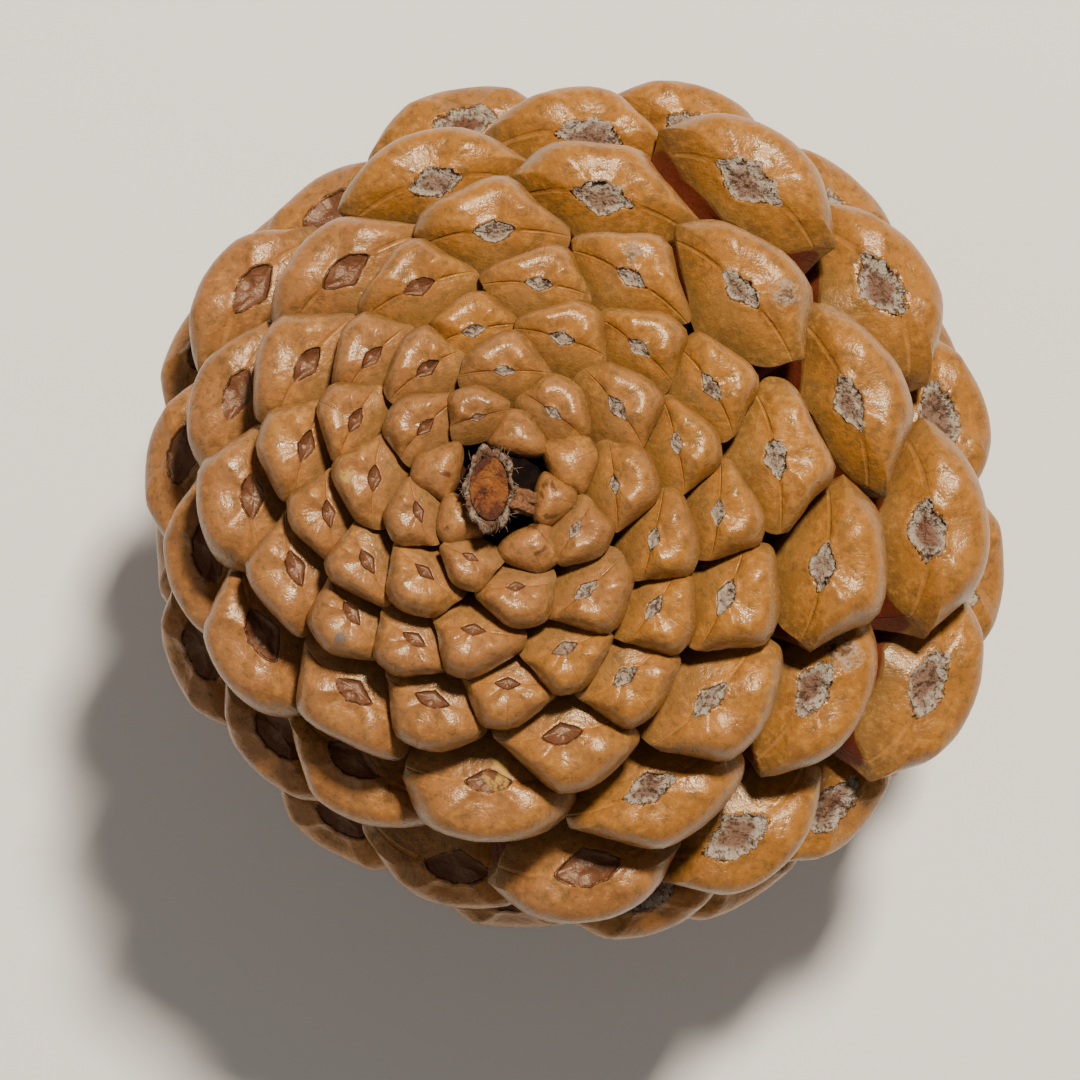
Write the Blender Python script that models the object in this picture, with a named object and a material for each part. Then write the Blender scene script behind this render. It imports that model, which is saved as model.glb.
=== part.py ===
# An open pine cone that stands on its tip, with the stub of its stem on top.
# Metres, +Z up. The origin is the middle of the small flat spot under the tip.

import math
import random

import bmesh
import bpy
from mathutils import Vector

# Whole cone. Depth is measured down from the level of the knobs round the stem.
UMBO_RADIUS = 0.0505
SHOULDER_DEPTH = 0.0540
TIP_DEPTH = 0.0590
SHOULDER_POWER = 0.85
LOPSIDED = 0.13
ROOM_LOPSIDED = 0.065
LOPSIDED_AZIMUTH = math.radians(23.0)
LEAN_X = -0.0055
LEAN_Y = -0.0022
REST_PRESS = 0.0036

# Spiral of the scales, counted from the stem.
GOLDEN_ANGLE = math.radians(137.508)
START_AZIMUTH = math.radians(-178.4)
FIRST_SCALE = 4
LAST_ANGLE = math.radians(166.0)
START_RADIUS = 0.0055

# Room that one scale takes on the cone's outside.
KNOB_ROOM = 0.0042
SMALL_ROOM = 0.0080
LARGE_ROOM = 0.0196
TIP_ROOM = 0.0130
KNOB_LAST = 22
GROW_FIRST = 34
GROW_LAST = 75
SHRINK_FROM = math.radians(125.0)

# Core that the scales grow from.
CORE_RADIUS = 0.0090
CORE_SIDES = 10
CORE_TOP_DEPTH = 0.0030
CORE_TOP_RADIUS = 0.0046
CORE_TIP_RADIUS = 0.0062
CORE_END_RADIUS = 0.0050
CORE_WIDEST_FROM = 0.22
CORE_NARROWS_FROM = 0.60
CORE_RINGS = 5
ROOT_TOP_DEPTH = 0.0070
ROOT_STEP = 0.00058
ROOT_SHARE = 0.62
ROOT_SOCKET_CLEAR = 0.0013

# Form of a scale, as shares of its room.
HEART = 0.11
HALF_WIDTH = 0.66
TIP_SIDE = 0.45
STEM_SIDE = 0.52
CLOSED_SWELL = 1.35
CORNER_CLOSED = 0.85
CORNER_OPEN = 1.30
CORNER_OVERLAP = 0.07
CROWN = 0.27
BULGE = 0.13
STEM_FALL = 0.85
SIDE_FALL = 0.75
UMBO_SIZE = 0.34
UMBO_SINK = 0.035
MIDDLE_RING = 0.64
LIP_DROP = 0.10
SHOULDER_SHARE = 0.30
SHOULDER_WIDTH = 0.78
SHOULDER_THICKNESS = 0.20
COLLAR_CLEAR = 0.0020
COLLAR_HALF_WIDTH = 0.0034
COLLAR_HALF_THICKNESS = 0.0013
SIDES = 8
SEAM = 0.0002
NEIGHBOUR_SPAN = 2.4

# How far the scales turn towards the stem, where closed and where opened.
CLOSED_TURN = math.radians(12.0)
OPEN_FIRST = 44
OPEN_LAST = 72
OPEN_TURN = math.radians(20.0)
OPEN_TURN_LOPSIDED = math.radians(9.0)
OPEN_END = math.radians(150.0)

# Scales that grew out of line: turn round the axis in degrees, and reach in metres.
STRAYS = {
    32: (0.0, -0.0020),
    56: (1.5, 0.0015),
    57: (2.0, 0.0010),
    60: (-2.0, 0.0),
    64: (-4.0, -0.0010),
    65: (-5.0, -0.0005),
    66: (-3.0, -0.0010),
    67: (0.0, -0.0020),
    68: (-3.0, 0.0),
    69: (2.0, 0.0025),
    70: (5.0, 0.0025),
    71: (2.0, 0.0010),
    72: (-3.5, 0.0005),
    74: (-6.0, -0.0015),
    75: (-4.0, 0.0),
    78: (3.5, 0.0),
    79: (4.0, -0.0020),
    80: (-3.0, 0.0020),
    85: (2.0, -0.0025),
    86: (4.0, -0.0005),
    88: (-3.0, 0.0),
}

# Uneven growth.
SEED = 21
JITTER_PLACE = 0.035
JITTER_SIZE = 0.05
JITTER_TURN = math.radians(4.0)

# Stub of the stem. Its rings run from the neck over the bark to the sunken cut face.
SOCKET_RADIUS = 0.0023
SOCKET_DEPTH = 0.0050
GAP = 0.0003
STUB_X = -0.0012
STUB_HALF_WIDTH = 0.0027
STUB_HALF_LENGTH = 0.0042
STUB_RISE = 0.0050
STUB_SIDES = 16
STUB_SPREADS = (0.62, 0.72, 1.0, 1.04, 0.80, 0.70)
STUB_RISES = (0.20, 0.45, 0.75, 1.0, 1.0, 0.93)
BARK_WAVE = 0.05
BARK_RIPPLE = 0.04
BARK_RAGGED = 0.00035

CARAMEL = (0.50, 0.235, 0.085, 1.0)
PITH = (0.42, 0.16, 0.055, 1.0)


def clear_scene():
    for item in list(bpy.data.objects):
        bpy.data.objects.remove(item, do_unlink=True)


def make_material(name, colour, roughness):
    material = bpy.data.materials.new(name)
    material.use_nodes = True
    shader = material.node_tree.nodes["Principled BSDF"]
    shader.inputs["Base Color"].default_value = colour
    shader.inputs["Roughness"].default_value = roughness
    shader.inputs["Metallic"].default_value = 0.0
    material.diffuse_color = colour
    return material


def smooth_step(value, low, high):
    share = min(max((value - low) / (high - low), 0.0), 1.0)
    return share * share * (3.0 - 2.0 * share)


def mix(first, second, share):
    return first + (second - first) * share


# The outline that the umbos lie on: radius and depth at an angle down from the stem.
def outline(angle):
    radius = UMBO_RADIUS * math.sin(angle)
    if angle < math.pi / 2:
        depth = SHOULDER_DEPTH * (1.0 - math.cos(angle)) ** SHOULDER_POWER
    else:
        depth = SHOULDER_DEPTH - TIP_DEPTH * math.cos(angle)
    return radius, depth


def room_of(index, angle):
    room = mix(KNOB_ROOM, SMALL_ROOM, smooth_step(index, FIRST_SCALE, KNOB_LAST))
    room = mix(room, LARGE_ROOM, smooth_step(index, GROW_FIRST, GROW_LAST))
    return mix(room, TIP_ROOM, smooth_step(angle, SHRINK_FROM, math.pi))


# Walks down the outline, giving each scale its share of the surface.
def walk_outline():
    small = math.radians(0.5)
    angle = math.asin(START_RADIUS / UMBO_RADIUS)
    index = FIRST_SCALE
    stations = []
    while angle < LAST_ANGLE:
        room = room_of(index, angle)
        stations.append((index, angle, room))
        radius, depth = outline(angle)
        next_radius, next_depth = outline(angle + small)
        length = math.hypot(next_radius - radius, next_depth - depth)
        angle += small * room * room / (2.0 * math.pi * radius * length)
        index += 1
    return stations


def height_of(depth):
    return SHOULDER_DEPTH + TIP_DEPTH - depth


def lean(point):
    share = point.z / (SHOULDER_DEPTH + TIP_DEPTH)
    return Vector((point.x + LEAN_X * share, point.y + LEAN_Y * share, point.z))


# Where the surface of the core stands at a depth.
def core_radius_at(depth):
    tip_depth = SHOULDER_DEPTH + TIP_DEPTH
    widened = smooth_step(depth, CORE_TOP_DEPTH, CORE_WIDEST_FROM * tip_depth)
    radius = mix(CORE_TOP_RADIUS, CORE_RADIUS, widened)
    narrowed = smooth_step(depth, CORE_NARROWS_FROM * tip_depth, tip_depth)
    return mix(radius, CORE_TIP_RADIUS, narrowed)


# The angle down from the stem that a scale's face looks at.
def facing_of(angle, uneven, opened):
    closed_turn = CLOSED_TURN * math.sin(2.0 * angle)
    return angle - mix(closed_turn, OPEN_TURN + OPEN_TURN_LOPSIDED * uneven, opened)


# The three directions of a scale: across it, towards the tip, and out of its face.
def axes_of(azimuth, facing, twist):
    outward = Vector((math.cos(azimuth), math.sin(azimuth), 0.0))
    side = Vector((-math.sin(azimuth), math.cos(azimuth), 0.0))
    normal = outward * math.sin(facing) + Vector((0.0, 0.0, math.cos(facing)))
    down = side.cross(normal)
    turned_side = side * math.cos(twist) + down * math.sin(twist)
    turned_down = down * math.cos(twist) - side * math.sin(twist)
    return turned_side, turned_down, normal


def around_axis(azimuth, radius, depth):
    return Vector((radius * math.cos(azimuth), radius * math.sin(azimuth), height_of(depth)))


# Everything that sets one scale: its frame, its room and where it is rooted.
def place_scale(index, angle, room, draw):
    stray_turn, stray_reach = STRAYS.get(index, (0.0, 0.0))
    azimuth = START_AZIMUTH - index * GOLDEN_ANGLE + math.radians(stray_turn)
    radius, depth = outline(angle)
    radius += stray_reach
    azimuth += draw.uniform(-1.0, 1.0) * JITTER_PLACE * room / radius
    uneven = math.cos(azimuth - LOPSIDED_AZIMUTH)
    radius *= 1.0 + LOPSIDED * math.sin(angle) * uneven
    radius *= 1.0 + draw.uniform(-1.0, 1.0) * JITTER_PLACE * room / radius
    room *= 1.0 + ROOM_LOPSIDED * math.sin(angle) * uneven
    opened = smooth_step(index, OPEN_FIRST, OPEN_LAST)
    opened *= 1.0 - smooth_step(angle, OPEN_END, math.pi)
    facing = facing_of(angle, uneven, opened) + draw.uniform(-1.0, 1.0) * JITTER_TURN
    side, down, normal = axes_of(azimuth, facing, draw.uniform(-1.0, 1.0) * JITTER_TURN)
    room *= 1.0 + draw.uniform(-1.0, 1.0) * JITTER_SIZE
    root_depth = ROOT_TOP_DEPTH + ROOT_STEP * (index - FIRST_SCALE)
    core = core_radius_at(root_depth)
    umbo = around_axis(azimuth, radius, depth)
    return {
        "umbo": umbo,
        "heart": umbo + (down * HEART - normal * CROWN) * room,
        "root": around_axis(azimuth, max(ROOT_SHARE * core, SOCKET_RADIUS + ROOT_SOCKET_CLEAR), root_depth),
        "side": side,
        "down": down,
        "normal": normal,
        "room": room,
        "opened": opened,
        "core": core,
    }


# How far a scale may reach along a direction before it meets its neighbours.
def cell_reach(scale, others, direction):
    reach = scale["room"]
    for other in others:
        apart = other["heart"] - scale["heart"]
        toward = apart.dot(direction)
        if other is scale or toward <= 0.0 or apart.length > NEIGHBOUR_SPAN * scale["room"]:
            continue
        share = scale["room"] / (scale["room"] + other["room"])
        reach = min(reach, share * apart.length_squared / toward - SEAM)
    return reach


# A scale's own outline about its heart: how far across, and how far towards the tip.
def own_outline(turn, opened):
    across = HALF_WIDTH * math.cos(turn)
    along = TIP_SIDE if math.sin(turn) > 0.0 else STEM_SIDE
    rise = abs(math.sin(turn)) ** mix(CORNER_CLOSED, CORNER_OPEN, opened)
    return across, math.copysign(along * rise, math.sin(turn))


# The rim's points from the umbo, held inside the scale's own cell.
def fit_rim(scale, others):
    rim = []
    swell = mix(CLOSED_SWELL, 1.0, scale["opened"]) * scale["room"]
    for number in range(SIDES):
        turn = 2.0 * math.pi * number / SIDES
        across, along = own_outline(turn, scale["opened"])
        offset = (scale["side"] * across + scale["down"] * along) * swell
        limit = cell_reach(scale, others, offset.normalized())
        limit *= 1.0 + CORNER_OVERLAP * scale["opened"] * math.cos(turn) ** 4
        offset *= min(1.0, limit / offset.length)
        rim.append(scale["down"] * HEART * scale["room"] + offset)
    return rim


# How high the domed end stands over its rim, from 1 at the umbo to 0 at the rim.
def dome(share, turn):
    to_tip = max(math.sin(turn), 0.0) ** 2
    to_stem = max(-math.sin(turn), 0.0) ** 2
    to_side = math.cos(turn) ** 2
    rounded = math.sqrt(max(1.0 - share * share, 0.0))
    tip_height = CROWN * rounded + BULGE * math.sin(math.pi * share)
    stem_height = CROWN * (1.0 - share) ** STEM_FALL
    side_height = CROWN * (1.0 - share * share) ** SIDE_FALL
    return to_tip * tip_height + to_stem * stem_height + to_side * side_height


def ring_on_dome(mesh, scale, share, step):
    ring = []
    for number in range(0, SIDES, step):
        turn = 2.0 * math.pi * number / SIDES
        height = (dome(share, turn) - CROWN) * scale["room"]
        point = scale["umbo"] + scale["rim"][number] * share
        ring.append(mesh.verts.new(point + scale["normal"] * height))
    return ring


# A ring on the plate that carries the domed end, at a share of the way to the root.
def ring_on_plate(mesh, scale, share, half_width, half_thickness, count):
    rim_middle = scale["heart"] - scale["normal"] * LIP_DROP * scale["room"]
    middle = rim_middle.lerp(scale["root"], share)
    along = (scale["root"] - rim_middle).normalized()
    across = (scale["side"] - along * scale["side"].dot(along)).normalized()
    through = along.cross(across)
    through = through if through.dot(scale["down"]) > 0.0 else -through
    ring = []
    for number in range(count):
        turn = 2.0 * math.pi * number / count
        point = middle + across * half_width * math.cos(turn)
        ring.append(mesh.verts.new(point + through * half_thickness * math.sin(turn)))
    return ring


# The plate narrows to a small collar just clear of the core, and runs to a point inside it.
def add_plate(mesh, scale, rim):
    width = SHOULDER_WIDTH * HALF_WIDTH * scale["room"]
    thickness = SHOULDER_THICKNESS * STEM_SIDE * scale["room"]
    shoulder = ring_on_plate(mesh, scale, SHOULDER_SHARE, width, thickness, SIDES)
    length = (scale["umbo"] - scale["root"]).length
    share = 1.0 - (scale["core"] - scale["root"].to_2d().length + COLLAR_CLEAR) / length
    collar = ring_on_plate(mesh, scale, share, COLLAR_HALF_WIDTH, COLLAR_HALF_THICKNESS, SIDES // 2)
    bridge(mesh, rim, shoulder)
    bridge_to_half(mesh, shoulder, collar)
    return collar


def bridge(mesh, outer, inner):
    count = len(outer)
    for number in range(count):
        after = (number + 1) % count
        mesh.faces.new((outer[number], outer[after], inner[after], inner[number]))


# Joins a ring to one with half as many points.
def bridge_to_half(mesh, outer, inner):
    count = len(outer)
    for number in range(len(inner)):
        middle = 2 * number
        before = (middle - 1) % count
        after = (middle + 1) % count
        following = inner[(number + 1) % len(inner)]
        mesh.faces.new((outer[before], outer[middle], inner[number]))
        mesh.faces.new((outer[middle], outer[after], inner[number]))
        mesh.faces.new((outer[after], following, inner[number]))


# Closes a ring with a fan of triangles to one point.
def close_to_point(mesh, ring, point):
    middle = mesh.verts.new(point)
    for number in range(len(ring)):
        mesh.faces.new((ring[number], ring[(number + 1) % len(ring)], middle))


def scale_mesh(name, scale):
    mesh = bmesh.new()
    rim = ring_on_dome(mesh, scale, 1.0, 1)
    middle = ring_on_dome(mesh, scale, MIDDLE_RING, 1)
    bridge(mesh, rim, middle)
    umbo = ring_on_dome(mesh, scale, UMBO_SIZE, 2)
    bridge_to_half(mesh, middle, umbo)
    close_to_point(mesh, umbo, scale["umbo"] - scale["normal"] * UMBO_SINK * scale["room"])
    inner = add_plate(mesh, scale, rim) if scale["opened"] > 0.0 else rim
    close_to_point(mesh, inner, scale["root"])
    for corner in mesh.verts:
        corner.co = lean(corner.co)
        corner.co.z = max(corner.co.z, REST_PRESS)
    bmesh.ops.triangulate(mesh, faces=mesh.faces[:])
    bmesh.ops.recalc_face_normals(mesh, faces=mesh.faces[:])
    return finish_mesh(name, mesh)


def finish_mesh(name, mesh):
    data = bpy.data.meshes.new(name)
    mesh.to_mesh(data)
    mesh.free()
    made = bpy.data.objects.new(name, data)
    bpy.context.scene.collection.objects.link(made)
    return made


def turned_ring(mesh, radius, height, count, middle=(0.0, 0.0)):
    ring = []
    for number in range(count):
        turn = 2.0 * math.pi * number / count
        point = Vector((middle[0] + radius * math.cos(turn), middle[1] + radius * math.sin(turn), height))
        ring.append(mesh.verts.new(lean(point)))
    return ring


# The woody core, with a plain round socket for the stem in its top.
def make_core():
    mesh = bmesh.new()
    top = height_of(CORE_TOP_DEPTH)
    stem = (STUB_X, 0.0)
    rings = [turned_ring(mesh, SOCKET_RADIUS, top - SOCKET_DEPTH, CORE_SIDES, stem)]
    rings.append(turned_ring(mesh, SOCKET_RADIUS, top, CORE_SIDES, stem))
    for number in range(CORE_RINGS):
        depth = mix(CORE_TOP_DEPTH, SHOULDER_DEPTH + TIP_DEPTH, number / CORE_RINGS)
        rings.append(turned_ring(mesh, core_radius_at(depth), height_of(depth), CORE_SIDES))
    rings.append(turned_ring(mesh, CORE_END_RADIUS, REST_PRESS, CORE_SIDES))
    for first, second in zip(rings, rings[1:]):
        bridge(mesh, first, second)
    mesh.faces.new(rings[0])
    mesh.faces.new(rings[-1])
    bmesh.ops.triangulate(mesh, faces=mesh.faces[:])
    bmesh.ops.recalc_face_normals(mesh, faces=mesh.faces[:])
    return finish_mesh("cone", mesh)


# Keeps the one outer body: sealed hollows are filled and loose scraps dropped.
def keep_outer_body(made):
    mesh = bmesh.new()
    mesh.from_mesh(made.data)
    left = set(mesh.verts)
    bodies = []
    while left:
        body = {left.pop()}
        edge_of_body = list(body)
        while edge_of_body:
            corner = edge_of_body.pop()
            for edge in corner.link_edges:
                other = edge.other_vert(corner)
                if other in left:
                    left.remove(other)
                    body.add(other)
                    edge_of_body.append(other)
        bodies.append(body)
    largest = max(bodies, key=len)
    for body in bodies:
        if body is not largest:
            bmesh.ops.delete(mesh, geom=list(body), context="VERTS")
    bmesh.ops.triangulate(mesh, faces=mesh.faces[:])
    mesh.to_mesh(made.data)
    mesh.free()


def union_with(target, pieces):
    together = bpy.data.collections.new("scales")
    bpy.context.scene.collection.children.link(together)
    for piece in pieces:
        bpy.context.scene.collection.objects.unlink(piece)
        together.objects.link(piece)
    join = target.modifiers.new("join", "BOOLEAN")
    join.operation = "UNION"
    join.operand_type = "COLLECTION"
    join.collection = together
    join.solver = "MANIFOLD"
    bpy.context.view_layer.objects.active = target
    bpy.ops.object.modifier_apply(modifier=join.name)
    for piece in pieces:
        bpy.data.objects.remove(piece, do_unlink=True)
    bpy.data.collections.remove(together)


def make_cone():
    draw = random.Random(SEED)
    cone = make_core()
    scales = [place_scale(index, angle, room, draw) for index, angle, room in walk_outline()]
    pieces = []
    for scale in scales:
        scale["rim"] = fit_rim(scale, scales)
        pieces.append(scale_mesh("scale", scale))
    union_with(cone, pieces)
    keep_outer_body(cone)
    lower_to_rest(cone)
    cone.data.materials.clear()
    cone.data.materials.append(make_material("caramel_scale", CARAMEL, 0.42))
    cone.data.shade_smooth()
    cone.data.set_sharp_from_angle(angle=math.radians(35.0))
    return cone


def lower_to_rest(made):
    for corner in made.data.vertices:
        corner.co.z -= REST_PRESS


# An uneven oval ring on the stub, ragged where the bark is torn.
def bark_ring(mesh, stem, top, spread, rise):
    ring = []
    for number in range(STUB_SIDES):
        turn = 2.0 * math.pi * number / STUB_SIDES
        rough = spread * (1.0 + BARK_WAVE * math.sin(3.0 * turn) + BARK_RIPPLE * math.sin(7.0 * turn + rise))
        ragged = BARK_RAGGED * math.sin(5.0 * turn) if spread > 1.0 else 0.0
        across = stem[0] + STUB_HALF_WIDTH * rough * math.cos(turn)
        along = stem[1] + STUB_HALF_LENGTH * rough * math.sin(turn)
        ring.append(mesh.verts.new(lean(Vector((across, along, top + STUB_RISE * rise + ragged)))))
    return ring


# The stub: a round peg in the socket, a swelling of bark and the sunken cut face.
def make_stub():
    mesh = bmesh.new()
    top = height_of(CORE_TOP_DEPTH)
    stem = (STUB_X, 0.0)
    peg = SOCKET_RADIUS - GAP
    rings = [turned_ring(mesh, peg, top - SOCKET_DEPTH + GAP, STUB_SIDES, stem)]
    rings.append(turned_ring(mesh, peg, top + GAP, STUB_SIDES, stem))
    for spread, rise in zip(STUB_SPREADS, STUB_RISES):
        rings.append(bark_ring(mesh, stem, top, spread, rise))
    for first, second in zip(rings, rings[1:]):
        bridge(mesh, first, second)
    mesh.faces.new(rings[0])
    mesh.faces.new(rings[-1])
    bmesh.ops.triangulate(mesh, faces=mesh.faces[:])
    bmesh.ops.recalc_face_normals(mesh, faces=mesh.faces[:])
    stub = finish_mesh("stem_stub", mesh)
    lower_to_rest(stub)
    stub.data.materials.append(make_material("stem_pith", PITH, 0.75))
    stub.data.shade_smooth()
    stub.data.set_sharp_from_angle(angle=math.radians(35.0))
    return stub


clear_scene()
make_cone()
make_stub()
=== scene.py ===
import math
import random

import bmesh
import bpy
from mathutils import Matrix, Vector, noise


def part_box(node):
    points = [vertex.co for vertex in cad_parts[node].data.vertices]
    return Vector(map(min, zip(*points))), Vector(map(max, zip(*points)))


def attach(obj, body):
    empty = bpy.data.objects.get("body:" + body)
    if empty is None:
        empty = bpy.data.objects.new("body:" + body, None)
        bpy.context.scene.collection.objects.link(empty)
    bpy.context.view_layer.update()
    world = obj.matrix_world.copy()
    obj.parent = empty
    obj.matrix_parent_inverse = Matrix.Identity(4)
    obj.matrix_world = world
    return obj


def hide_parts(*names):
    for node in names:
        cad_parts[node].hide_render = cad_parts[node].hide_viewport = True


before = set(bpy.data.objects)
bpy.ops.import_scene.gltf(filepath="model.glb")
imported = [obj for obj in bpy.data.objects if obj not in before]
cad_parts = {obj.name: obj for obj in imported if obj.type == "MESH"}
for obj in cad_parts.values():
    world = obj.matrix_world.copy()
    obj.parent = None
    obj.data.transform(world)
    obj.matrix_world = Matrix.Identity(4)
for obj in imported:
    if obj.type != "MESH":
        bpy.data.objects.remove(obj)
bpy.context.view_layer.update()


# the camera comes first: it looks down on the stem end, a little from the front
view = {
    "target": (-0.0011, -0.0043, 0.070),
    "distance": 0.542,
    "azimuth": 0.42,
    "elevation": 84.8,
    "lens": 150.0,
    "sensor": 36.0,
}


def placeCamera():
    turn, rise = math.radians(view["azimuth"]), math.radians(view["elevation"])
    back = Vector((math.sin(turn) * math.cos(rise), -math.cos(turn) * math.cos(rise), math.sin(rise)))
    camera = bpy.data.objects.new("camera", bpy.data.cameras.new("camera"))
    bpy.context.scene.collection.objects.link(camera)
    camera.location = Vector(view["target"]) + back * view["distance"]
    camera.rotation_euler = back.to_track_quat("Z", "Y").to_euler()
    camera.data.lens = view["lens"]
    camera.data.sensor_width = view["sensor"]
    camera.data.clip_start = 0.01
    bpy.context.scene.camera = camera


# how the scales follow each other down the cone, the same as in the solid model
spiral = {
    "umboRadius": 0.0505,
    "shoulderDepth": 0.0540,
    "tipDepth": 0.0590,
    "shoulderPower": 0.85,
    "lopsided": 0.13,
    "roomLopsided": 0.065,
    "lopsidedAzimuth": 23.0,
    "leanX": -0.0055,
    "leanY": -0.0022,
    "restPress": 0.0036,
    "goldenAngle": 137.508,
    "startAzimuth": -178.4,
    "firstScale": 4,
    "lastAngle": 166.0,
    "startRadius": 0.0055,
    "knobRoom": 0.0042,
    "smallRoom": 0.0080,
    "largeRoom": 0.0196,
    "tipRoom": 0.0130,
    "knobLast": 22,
    "growFirst": 34,
    "growLast": 75,
    "shrinkFrom": 125.0,
    "closedTurn": 12.0,
    "openFirst": 44,
    "openLast": 72,
    "openTurn": 20.0,
    "openTurnLopsided": 9.0,
    "openEnd": 150.0,
    "heart": 0.11,
    "crown": 0.27,
    "seed": 21,
    "jitterPlace": 0.035,
    "jitterSize": 0.05,
    "jitterTurn": 4.0,
}

# scales that grew out of line: turn round the axis in degrees, reach in metres
strays = {
    32: (0.0, -0.0020),
    56: (1.5, 0.0015),
    57: (2.0, 0.0010),
    60: (-2.0, 0.0),
    64: (-4.0, -0.0010),
    65: (-5.0, -0.0005),
    66: (-3.0, -0.0010),
    67: (0.0, -0.0020),
    68: (-3.0, 0.0),
    69: (2.0, 0.0025),
    70: (5.0, 0.0025),
    71: (2.0, 0.0010),
    72: (-3.5, 0.0005),
    74: (-6.0, -0.0015),
    75: (-4.0, 0.0),
    78: (3.5, 0.0),
    79: (4.0, -0.0020),
    80: (-3.0, 0.0020),
    85: (2.0, -0.0025),
    86: (4.0, -0.0005),
    88: (-3.0, 0.0),
}

# the core that the scales grow from
core = {
    "radius": 0.0090,
    "topDepth": 0.0030,
    "topRadius": 0.0046,
    "tipRadius": 0.0062,
    "widestFrom": 0.22,
    "narrowsFrom": 0.60,
    "rootTopDepth": 0.0070,
    "rootStep": 0.00058,
    "rootShare": 0.62,
    "socketRadius": 0.0023,
    "socketClear": 0.0013,
    "topDip": 0.0012,
    "sides": 48,
    "rings": 60,
    "roughness": 0.0006,
}


def smoothStep(value, low, high):
    share = min(max((value - low) / (high - low), 0.0), 1.0)
    return share * share * (3.0 - 2.0 * share)


def mix(first, second, share):
    return first + (second - first) * share


def outlineAt(angle):
    radius = spiral["umboRadius"] * math.sin(angle)
    if angle < math.pi / 2:
        depth = spiral["shoulderDepth"] * (1.0 - math.cos(angle)) ** spiral["shoulderPower"]
    else:
        depth = spiral["shoulderDepth"] - spiral["tipDepth"] * math.cos(angle)
    return radius, depth


def roomOf(index, angle):
    grown = smoothStep(index, spiral["firstScale"], spiral["knobLast"])
    room = mix(spiral["knobRoom"], spiral["smallRoom"], grown)
    room = mix(room, spiral["largeRoom"], smoothStep(index, spiral["growFirst"], spiral["growLast"]))
    return mix(room, spiral["tipRoom"], smoothStep(angle, math.radians(spiral["shrinkFrom"]), math.pi))


# walks down the outline, giving each scale its share of the surface
def walkOutline():
    small = math.radians(0.5)
    angle = math.asin(spiral["startRadius"] / spiral["umboRadius"])
    index = spiral["firstScale"]
    stations = []
    while angle < math.radians(spiral["lastAngle"]):
        room = roomOf(index, angle)
        stations.append((index, angle, room))
        radius, depth = outlineAt(angle)
        nextRadius, nextDepth = outlineAt(angle + small)
        length = math.hypot(nextRadius - radius, nextDepth - depth)
        angle += small * room * room / (2.0 * math.pi * radius * length)
        index += 1
    return stations


def wholeDepth():
    return spiral["shoulderDepth"] + spiral["tipDepth"]


def coreRadiusAt(depth):
    widened = smoothStep(depth, core["topDepth"], core["widestFrom"] * wholeDepth())
    radius = mix(core["topRadius"], core["radius"], widened)
    return mix(radius, core["tipRadius"], smoothStep(depth, core["narrowsFrom"] * wholeDepth(), wholeDepth()))


def aroundAxis(azimuth, radius, depth):
    return Vector((radius * math.cos(azimuth), radius * math.sin(azimuth), wholeDepth() - depth))


# the cone leans a little, and is let down on the flat spot that its tip is pressed to
def settled(point):
    share = point.z / wholeDepth()
    lower = max(point.z, spiral["restPress"]) - spiral["restPress"]
    return Vector((point.x + spiral["leanX"] * share, point.y + spiral["leanY"] * share, lower))


# one scale's frame, its room and where it is rooted; the order of the draws matters
def placeScale(index, angle, room, draw):
    strayTurn, strayReach = strays.get(index, (0.0, 0.0))
    azimuth = math.radians(spiral["startAzimuth"] - index * spiral["goldenAngle"] + strayTurn)
    radius, depth = outlineAt(angle)
    radius += strayReach
    azimuth += draw.uniform(-1.0, 1.0) * spiral["jitterPlace"] * room / radius
    uneven = math.cos(azimuth - math.radians(spiral["lopsidedAzimuth"]))
    radius *= 1.0 + spiral["lopsided"] * math.sin(angle) * uneven
    radius *= 1.0 + draw.uniform(-1.0, 1.0) * spiral["jitterPlace"] * room / radius
    room *= 1.0 + spiral["roomLopsided"] * math.sin(angle) * uneven
    opened = smoothStep(index, spiral["openFirst"], spiral["openLast"])
    opened *= 1.0 - smoothStep(angle, math.radians(spiral["openEnd"]), math.pi)
    closedTurn = math.radians(spiral["closedTurn"]) * math.sin(2.0 * angle)
    openTurn = math.radians(spiral["openTurn"] + spiral["openTurnLopsided"] * uneven)
    jitterTurn = math.radians(spiral["jitterTurn"])
    facing = angle - mix(closedTurn, openTurn, opened) + draw.uniform(-1.0, 1.0) * jitterTurn
    twist = draw.uniform(-1.0, 1.0) * jitterTurn
    room *= 1.0 + draw.uniform(-1.0, 1.0) * spiral["jitterSize"]
    outward = Vector((math.cos(azimuth), math.sin(azimuth), 0.0))
    across = Vector((-math.sin(azimuth), math.cos(azimuth), 0.0))
    normal = outward * math.sin(facing) + Vector((0.0, 0.0, math.cos(facing)))
    toTip = across.cross(normal)
    side = across * math.cos(twist) + toTip * math.sin(twist)
    down = toTip * math.cos(twist) - across * math.sin(twist)
    umbo = aroundAxis(azimuth, radius, depth)
    rootDepth = core["rootTopDepth"] + core["rootStep"] * (index - spiral["firstScale"])
    coreRadius = coreRadiusAt(rootDepth)
    rootRadius = max(core["rootShare"] * coreRadius, core["socketRadius"] + core["socketClear"])
    return {
        "index": index,
        "azimuth": azimuth,
        "umbo": umbo,
        "heart": umbo + (down * spiral["heart"] - normal * spiral["crown"]) * room,
        "root": aroundAxis(azimuth, rootRadius, rootDepth),
        "side": side,
        "down": down,
        "normal": normal,
        "room": room,
        "opened": opened,
        "core": coreRadius,
    }


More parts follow.
